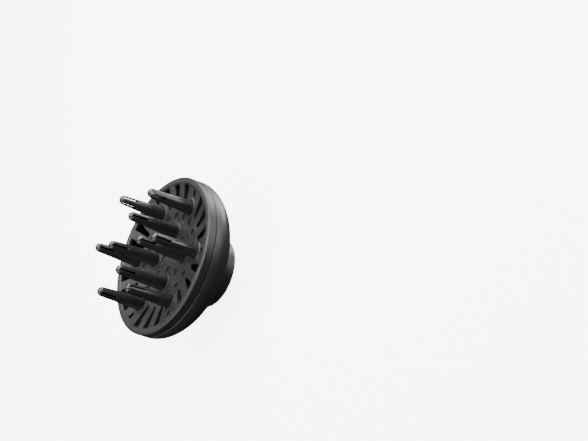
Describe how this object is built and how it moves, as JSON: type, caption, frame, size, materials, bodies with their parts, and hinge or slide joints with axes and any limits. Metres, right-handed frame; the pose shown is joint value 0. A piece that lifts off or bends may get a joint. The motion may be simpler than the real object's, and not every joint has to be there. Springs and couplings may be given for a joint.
{
  "type": "hair dryer diffuser",
  "caption": "Round hair dryer diffuser: dished slotted face, hollow tapered fingers with slotted tips, bell-shaped back and a short push-in neck with sprung tabs.",
  "frame": {"origin": "centre of the neck's rear end face, on which the part stands", "axes": "+Z along the axis, from the neck to the finger tips; +X through an outer finger"},
  "size_m": [0.1224, 0.1224, 0.0816],
  "materials": {
    "housing": "satin black, fine grain",
    "grille": "satin black, fine grain",
    "finger": "smooth black",
    "inner": "matte black",
    "screw": "zinc plated"
  },
  "bodies": {
    "body": {"rear_housing": "housing", "front_grille": "grille", "finger_retainer": "inner", "air_deflector": "inner", "retainer_screws": "screw", "finger_01": "finger", "finger_02": "finger", "finger_03": "finger", "finger_04": "finger", "finger_05": "finger", "finger_06": "finger", "finger_07": "finger", "finger_08": "finger", "finger_09": "finger", "finger_10": "finger"},
    "tab_upper": {"snap_tab_upper": "housing"},
    "tab_lower": {"snap_tab_lower": "housing"}
  },
  "joints": [
    {"name": "tab_upper_flex", "type": "hinge", "parent": "body", "child": "tab_upper", "pos_m": [0, 0.0264, 0.0088], "axis": [-1, 0, 0], "range_deg": [0, 5], "stiffness_Nm_per_rad": 0.1},
    {"name": "tab_lower_flex", "type": "hinge", "parent": "body", "child": "tab_lower", "pos_m": [0, -0.0264, 0.0088], "axis": [1, 0, 0], "range_deg": [0, 5], "stiffness_Nm_per_rad": 0.1}
  ]
}
